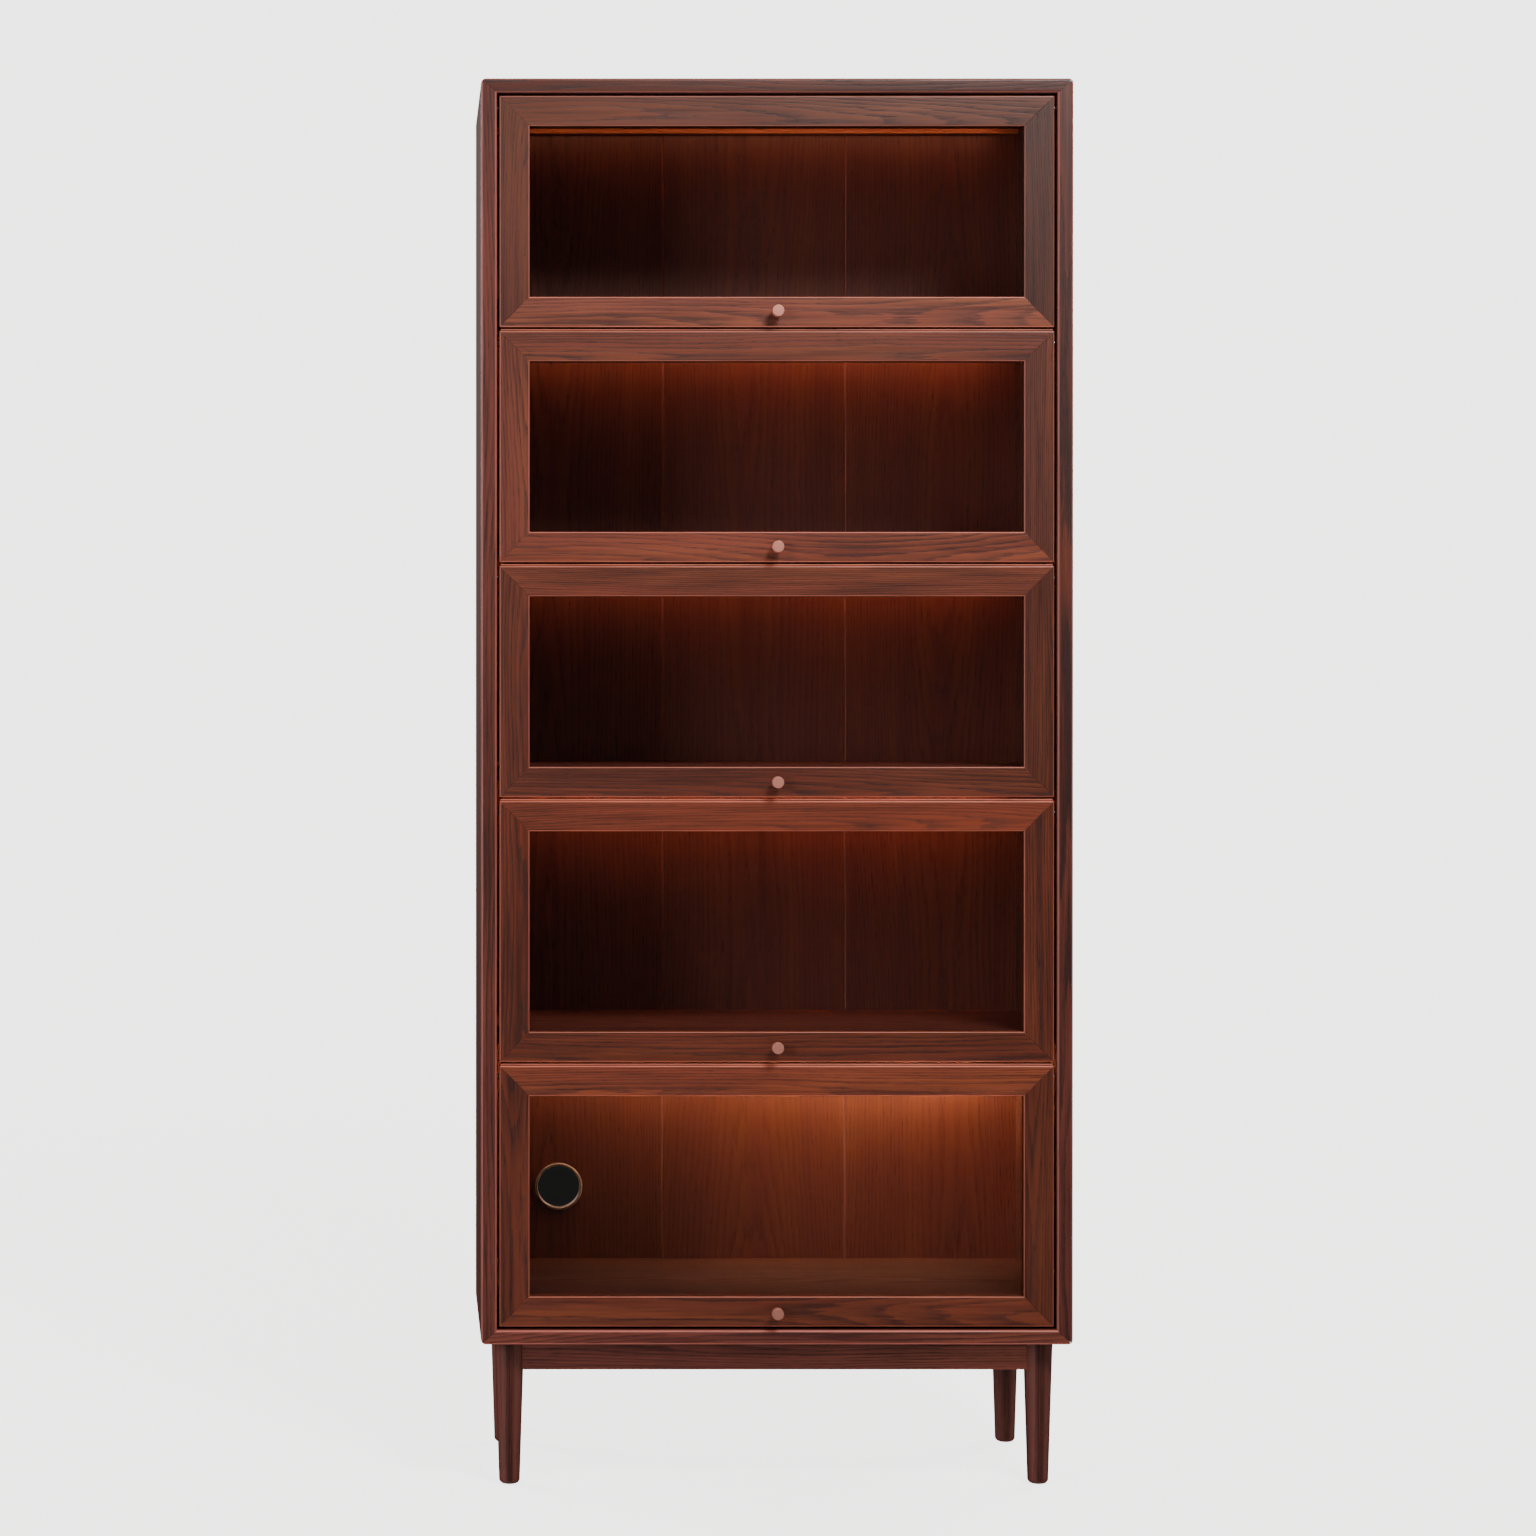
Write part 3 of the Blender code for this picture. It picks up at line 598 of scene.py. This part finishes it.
def door_member(name, length):
    """A member lying along X with its outer edge up at zero, mitred at both ends."""
    section = [
        (0.0, 0.0), (0.0, -member), (plough_front, -member), (plough_front, hold - member),
        (plough_back, hold - member), (plough_back, -member), (thick, -member), (thick, 0.0),
        (0.0, 0.0),
    ]
    piece = drawn(name, [(-length / 2, back, up) for back, up in section])
    bpy.ops.mesh.select_all(action="SELECT")
    bpy.ops.mesh.remove_doubles(threshold=0.00001)
    bpy.ops.mesh.edge_face_add()
    bpy.ops.mesh.extrude_region_move(TRANSFORM_OT_translate={"value": (length, 0, 0)})
    bpy.ops.mesh.select_all(action="SELECT")
    bpy.ops.mesh.normals_make_consistent(inside=False)
    # Outer front, outer rear, inner front and inner rear arris: height, depth, round and steps.
    arrises = (
        (0.0, 0.0, 0.0025, 5),
        (0.0, thick, 0.0025, 4),
        (-member, 0.0, 0.0020, 4),
        (-member, thick, 0.0006, 2),
    )
    for up, back, offset, segments in arrises:
        pick(piece, "EDGE", lambda at: near(at.z, up) and near(at.y, back))
        bpy.ops.mesh.bevel(offset=offset, segments=segments, affect="EDGES")
    tip = length / 2 - mitre_gap
    for end in (-1, 1):
        bpy.ops.mesh.select_all(action="SELECT")
        bpy.ops.mesh.bisect(
            plane_co=(end * tip, 0.0, 0.0), plane_no=(end, 0, -1), clear_outer=True, use_fill=True,
        )
        on_mitre = lambda at: near(abs(at.x) - at.z, tip) and at.x * end > 0
        pick(piece, "EDGE", lambda at: on_mitre(at) and at.y < 0.00001)
        bpy.ops.mesh.bevel(offset=0.0004, segments=1, affect="EDGES")
    bpy.ops.mesh.select_all(action="SELECT")
    bpy.ops.mesh.normals_make_consistent(inside=False)
    bpy.ops.object.mode_set(mode="OBJECT")
    return piece


def bored(piece, centre, direction, radius, length):
    """Drills a round hole right through a piece."""
    bpy.ops.object.select_all(action="DESELECT")
    turn = (0.0, math.pi / 2, 0.0) if direction == "X" else (math.pi / 2, 0.0, 0.0)
    bpy.ops.mesh.primitive_cylinder_add(
        vertices=32, radius=radius, depth=length, location=centre, rotation=turn,
    )
    drill = bpy.context.active_object
    only(piece)
    bpy.ops.object.modifier_add(type="BOOLEAN")
    piece.modifiers[-1].operation = "DIFFERENCE"
    piece.modifiers[-1].solver = "EXACT"
    piece.modifiers[-1].object = drill
    bpy.ops.object.modifier_apply(modifier=piece.modifiers[-1].name)
    bpy.data.objects.remove(drill)


door_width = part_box("door_1_right_stile")[1].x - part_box("door_1_left_stile")[0].x
rail = door_member("rail", door_width)
stiles = {}
for number in range(1, 6):
    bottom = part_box(f"door_{number}_bottom_rail")[0].z
    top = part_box(f"door_{number}_top_rail")[1].z
    height = round(top - bottom, 4)
    if height not in stiles:
        stiles[height] = door_member("stile", top - bottom)
    stile = stiles[height]
    rod_low, rod_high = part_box(f"door_{number}_pivot_rod")
    knob_low, knob_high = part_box(f"door_{number}_knob")
    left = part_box(f"door_{number}_left_stile")[0].x
    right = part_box(f"door_{number}_right_stile")[1].x
    places = (
        ("top_rail", rail, (0.0, rail_low.y, top), 0.0, "X"),
        ("bottom_rail", rail, (0.0, rail_low.y, bottom), math.pi, "X"),
        ("left_stile", stile, (left, rail_low.y, (bottom + top) / 2), -math.pi / 2, "Z"),
        ("right_stile", stile, (right, rail_low.y, (bottom + top) / 2), math.pi / 2, "Z"),
    )
    for order, (part, model, move, turn, grain) in enumerate(places):
        node = f"door_{number}_{part}"
        piece = copied(model, "oak_" + node, move, turn)
        bpy.ops.object.transform_apply(location=True, rotation=True, scale=True)
        if part == "bottom_rail":
            bored(piece, (0.0, rail_low.y, (knob_low.z + knob_high.z) / 2), "Y", 0.0033, 0.019)
        else:
            bored(piece, (rod_low + rod_high) / 2, "X", 0.00335, 1.0)
        settle(piece)
        seed = number * 9.7 + order * 2.9
        heart = (math.sin(seed * 12.9) * 0.030, 0.050 + math.sin(seed * 7.1) * 0.020)
        # Each member's tones carry its painted light and shade, and its arrises the strongest painted
        # highlight.
        tones = toned(toned(DOOR_OAK, MEMBER_PAINTED_LIGHT[number - 1][order]), *WARMING[number - 1])
        name = "door oak " + node.replace("_", " ")
        finish = oak(name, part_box(node), grain, seed, tones, heart, rub_and_highlight=1.0)
        fit(piece, [node], f"door_{number}", finish)
bpy.data.objects.remove(rail)
for model in stiles.values():
    bpy.data.objects.remove(model)

# ---------------------------------------------------------------- Beads
# Doors 2 to 5 carry two thin oak beads, pinned and glued. One lies along the top edge and narrows
# the gap under the door above, and is toned lighter than its rail, a painted highlight. The other,
# stained dark, stands up behind the gap, so that neither dust nor the light of the tier gets through;
# its dark tone is also a painted shade seen through the gap.

bead_rise, bead_extra, bead_hold, bead_thick = 0.0024, 0.0066, 0.0080, 0.0020
dust_end, gap_end, gap_front = 0.006, 0.002, 0.0014
rear = rail_high.y + 0.0002
half = door_width / 2
dust_low = Vector((dust_end - half, rear, -bead_hold))
dust_bead = block("dust bead", dust_low, Vector((half - dust_end, rear + bead_thick, bead_rise)))
pick(dust_bead, "EDGE", lambda at: near(at.z, bead_rise) or near(at.y, rear + bead_thick))
bpy.ops.mesh.bevel(offset=0.0006, segments=3, affect="EDGES")
bpy.ops.object.mode_set(mode="OBJECT")
gap_low = Vector((gap_end - half, rail_low.y + gap_front, 0.0001))
gap_high = Vector((half - gap_end, rail_low.y + gap_front + thick - 0.0040, bead_rise))
gap_bead = block("gap bead", gap_low, gap_high)
pick(gap_bead, "EDGE", lambda at: near(at.z, bead_rise))
bpy.ops.mesh.bevel(offset=0.0009, segments=4, affect="EDGES")
bpy.ops.object.mode_set(mode="OBJECT")
for number in range(2, 6):
    body = f"door_{number}"
    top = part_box(body + "_top_rail")[1].z
    strip = copied(dust_bead, f"dust_bead_{number}", (0.0, 0.0, top))
    settle(strip)
    # Doors 2 and 3 stow further from the back boards, so their beads stand taller.
    if number < 4:
        bpy.ops.object.mode_set(mode="EDIT")
        pick(strip, "FACE", lambda at: at.z > top + bead_rise - 0.0007)
        bpy.ops.transform.translate(value=(0.0, 0.0, bead_extra))
        bpy.ops.object.mode_set(mode="OBJECT")
    box = (Vector((-0.37, rear, top - bead_hold)), Vector((0.37, rear + bead_thick, top + bead_rise)))
    # The dark tones paint the gap in shade, where the bead is seen through it.
    finish = oak(f"bead oak {number}", box, "X", 83.1 + number * 2.3, LEG_OAK, (0.02, 0.04))
    fit(strip, [], body, finish)
for number in range(2, 6):
    body = f"door_{number}"
    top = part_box(body + "_top_rail")[1].z
    strip = copied(gap_bead, f"gap_bead_{number}", (0.0, 0.0, top))
    settle(strip)
    box = (Vector((-0.375, rail_low.y, top)), Vector((0.375, rail_high.y, top + bead_rise)))
    # Each gap bead is toned half again as light as its top rail, a painted highlight along the door's top
    # edge.
    tones = toned(DOOR_OAK, MEMBER_PAINTED_LIGHT[number - 1][0] * 1.5)
    name = f"gap bead oak {number}"
    finish = oak(name, box, "X", 71.3 + number * 2.9, tones, (0.02, 0.04), rub_and_highlight=1.0)
    fit(strip, [], body, finish)
bpy.data.objects.remove(dust_bead)
bpy.data.objects.remove(gap_bead)

# ---------------------------------------------------------------- Glass
# Clear 4 mm float glass, one pane to a door, cut square and held on all four sides in the
# grooves of the frame. It carries the faint uneven film that wiping by hand leaves.

for number in range(1, 6):
    pane = Finish(f"float glass {number}")
    wiped = pane.rise(pane.speckle(pane.place(), (7.0, 7.0, 16.0), 3.0, 0.6), 0.5, 0.9)
    sockets = {"Color": (1.0, 1.0, 1.0, 1.0), "Roughness": 0.015 + 0.05 * wiped}
    glint = pane.node("ShaderNodeBsdfAnisotropic", {}, sockets)
    through = pane.node("ShaderNodeBsdfTransparent", {}, {"Color": (0.965, 0.975, 0.965, 1.0)})
    # Both faces of the pane turn back the same small share, and more of it at a slant.
    slant = pane.node("ShaderNodeLayerWeight", {}, {"Blend": 0.5}, "Facing")
    share = 0.038 + 0.962 * pane.maths("POWER", slant, 5.0)
    pane.surface(pane.node("ShaderNodeMixShader", {}, {0: share, 1: through, 2: glint}).socket)
    pane.tree.nodes.remove(pane.shader)
    refinish(f"door_{number}_glass", pane.material)

# ---------------------------------------------------------------- Knobs and rods
# Flat round pulls turned from bar and plated in satin copper, screwed into the bottom rails,
# and 6 mm bright steel rods with chamfered ends.

knob_low, knob_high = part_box("door_1_knob")
rim = (knob_high.x - knob_low.x) / 2
tip, root = knob_low.y, knob_high.y
neck_end = rail_low.y - GLUE_GAP
head = tip + 0.010
# How far out from the middle, and how far back: spigot, foot of the neck, neck, rim and face.
profile = [
    (0.0, root), (0.003, root), (0.003, neck_end), (0.0052, neck_end), (0.0054, neck_end - 0.0006),
    (0.0045, neck_end - 0.0018), (0.0045, head + 0.0015), (0.0052, head + 0.0004), (0.0062, head),
    (rim - 0.0009, head), (rim - 0.0003, head - 0.0002), (rim, head - 0.0008), (rim, tip + 0.0009),
    (rim - 0.0002, tip + 0.0005), (rim - 0.0005, tip + 0.0002), (rim - 0.0010, tip), (0.0, tip),
]
knob = drawn("knob", [(out, back, 0.0) for out, back in profile])
spin((0, 0, 0), (0, 1, 0), 56)
for number in range(1, 6):
    low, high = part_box(f"door_{number}_knob")
    middle = (low + high) / 2
    pull = copied(knob, f"copper_knob_{number}", (middle.x, 0.0, middle.z))
    settle(pull, 30.0)
    metal = Finish(f"satin copper {number}")
    here = metal.place()
    centred = metal.vector("ADD", here, (-middle.x, 0.0, -middle.z))
    out = metal.vector("LENGTH", metal.vector("MULTIPLY", centred, (1.0, 0.0, 1.0)), output=1)
    sockets = {"W": out * 5200.0, "Scale": 1.0, "Detail": 2.0}
    turning = metal.node("ShaderNodeTexNoise", {"noise_dimensions": "1D"}, sockets)
    haze = metal.speckle(here, (420.0, 420.0, 420.0), 3.0, 0.6)
    # Each knob is painted a little darker than the one above it, a painted shade that deepens lower down.
    tones = toned(((0.66, 0.235, 0.175), (0.86, 0.355, 0.285)), 1.04 - 0.09 * (number - 1))
    shade = metal.between(turning * 0.45 + haze * 0.55, *tones)
    sockets = {"Strength": 0.25, "Distance": 0.00006, "Height": turning + haze * 0.5}
    bump = metal.node("ShaderNodeBump", {}, sockets)
    metal.show(Base_Color=shade, Roughness=0.40 + haze * 0.2, Metallic=0.35, Normal=bump)
    fit(pull, [f"door_{number}_knob"], f"door_{number}", metal.material)
bpy.data.objects.remove(knob)

steel = brushed("bright steel", (0.56, 0.55, 0.54), "X", 0.26)
low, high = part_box("door_1_pivot_rod")
bpy.ops.object.select_all(action="DESELECT")
bpy.ops.mesh.primitive_cylinder_add(
    vertices=32, radius=(high.z - low.z) / 2, depth=high.x - low.x, rotation=(0, math.pi / 2, 0),
)
bar = bpy.context.active_object
bpy.ops.object.transform_apply(location=True, rotation=True, scale=True)
bpy.ops.object.mode_set(mode="EDIT")
for end in (low.x, high.x):
    pick(bar, "EDGE", lambda at: abs(at.x - end) < 0.0001)
    bpy.ops.mesh.bevel(offset=0.0007, segments=2, affect="EDGES")
bpy.ops.object.mode_set(mode="OBJECT")
for number in range(1, 6):
    low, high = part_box(f"door_{number}_pivot_rod")
    steel_rod = copied(bar, f"steel_rod_{number}", (low + high) / 2)
    settle(steel_rod, 40.0)
    fit(steel_rod, [f"door_{number}_pivot_rod"], f"door_{number}_runner", steel)
bpy.data.objects.remove(bar)

# ---------------------------------------------------------------- Studio
# A pale floor that melts into a white room, one large soft light high on the right,
# a weaker one on the left, and two behind so that the back can be seen.

bpy.ops.object.select_all(action="DESELECT")
bpy.ops.mesh.primitive_circle_add(vertices=96, radius=9.0, fill_type="NGON", location=(0, 0, -0.0004))
floor = bpy.context.active_object
floor.name = "floor"
bpy.ops.object.transform_apply(location=True)
paint = Finish("pale floor")
here = paint.place()
cloud = paint.speckle(here, (2.0, 2.0, 2.0))
straight = paint.node("ShaderNodeLightPath", output="Is Camera Ray")
paint.show(
    Base_Color=paint.between(cloud, (0.80, 0.79, 0.78), (0.84, 0.83, 0.82)), Roughness=0.7,
    Emission_Color=paint.between(straight, (0.0, 0.0, 0.0), (1.0, 0.99, 0.98)), Emission_Strength=2.9,
)
# Far from the bookcase, and seen through two faces of a pane, the floor gives way to the room.
passed = paint.node("ShaderNodeLightPath", output="Transparent Depth")
far = paint.rise(paint.vector("LENGTH", here, output=1), 1.6, 5.0)
gone = paint.maths("MAXIMUM", far, paint.maths("GREATER_THAN", passed, 1.5))
clear = paint.node("ShaderNodeBsdfTransparent")
painted = Value(paint, paint.shader.outputs[0])
paint.surface(paint.node("ShaderNodeMixShader", {}, {0: gone, 1: painted, 2: clear}).socket)
floor.data.materials.append(paint.material)
floor.visible_glossy = False


def soft_light(name, place, target, width, height, power, colour):
    lamp = bpy.data.lights.new(name, "AREA")
    lamp.shape = "RECTANGLE"
    lamp.size = width
    lamp.size_y = height
    lamp.energy = power
    lamp.color = colour
    holder = bpy.data.objects.new(name, lamp)
    bpy.context.collection.objects.link(holder)
    holder.location = place
    holder.rotation_euler = (Vector(target) - Vector(place)).to_track_quat("-Z", "Y").to_euler()
    holder.light_linking.receiver_collection = panes


# The panes are left out of what the lamps shine on, so that no lamp is mirrored in the glass.
panes = bpy.data.collections.new("panes")
for number in range(1, 6):
    panes.objects.link(frame["nodes"][f"door_{number}_glass"])
for held in panes.collection_objects:
    held.light_linking.link_state = "EXCLUDE"
soft_light("key light", (1.1, -2.3, 3.5), (0.0, 0.0, 1.4), 1.1, 0.9, 100.0, (1.0, 0.95, 0.92))
soft_light("fill light", (-2.8, -2.8, 1.7), (0.0, 0.0, 1.0), 1.2, 2.0, 58.0, (1.0, 0.97, 0.95))
soft_light("back light left", (-3.6, 2.2, 2.4), (0.0, 0.0, 1.0), 1.6, 1.8, 80.0, (1.0, 0.98, 0.96))
soft_light("back light right", (3.4, 2.8, 2.6), (0.0, 0.0, 1.0), 1.6, 1.8, 80.0, (1.0, 0.98, 0.96))

# The room is bright where it is seen straight, and gives the wood only a weak even light.
room = Finish("room", bpy.data.worlds, "Background")
bpy.context.scene.world = room.material
passed = room.node("ShaderNodeLightPath", output="Transparent Depth")
straight = room.node("ShaderNodeLightPath", output="Is Camera Ray")
straight = straight * room.maths("LESS_THAN", passed, 1.5)
even = room.node("ShaderNodeLightPath", output="Is Diffuse Ray") * 0.17 + 0.012
room.show(Color=(1.0, 0.99, 0.98, 1.0), Strength=straight * 3.6 + even)

camera_data = bpy.data.cameras.new("camera")
camera = bpy.data.objects.new("camera", camera_data)
bpy.context.collection.objects.link(camera)
camera.location = (-0.4977, -4.575, 1.0904)
camera.rotation_euler = (math.radians(90.0 - 0.151), 0.0, 0.0)
camera_data.lens = 76.72
camera_data.sensor_width = 36.0
camera_data.shift_x = 0.2341
camera_data.shift_y = -0.05
bpy.context.scene.camera = camera

bpy.context.view_layer.update()
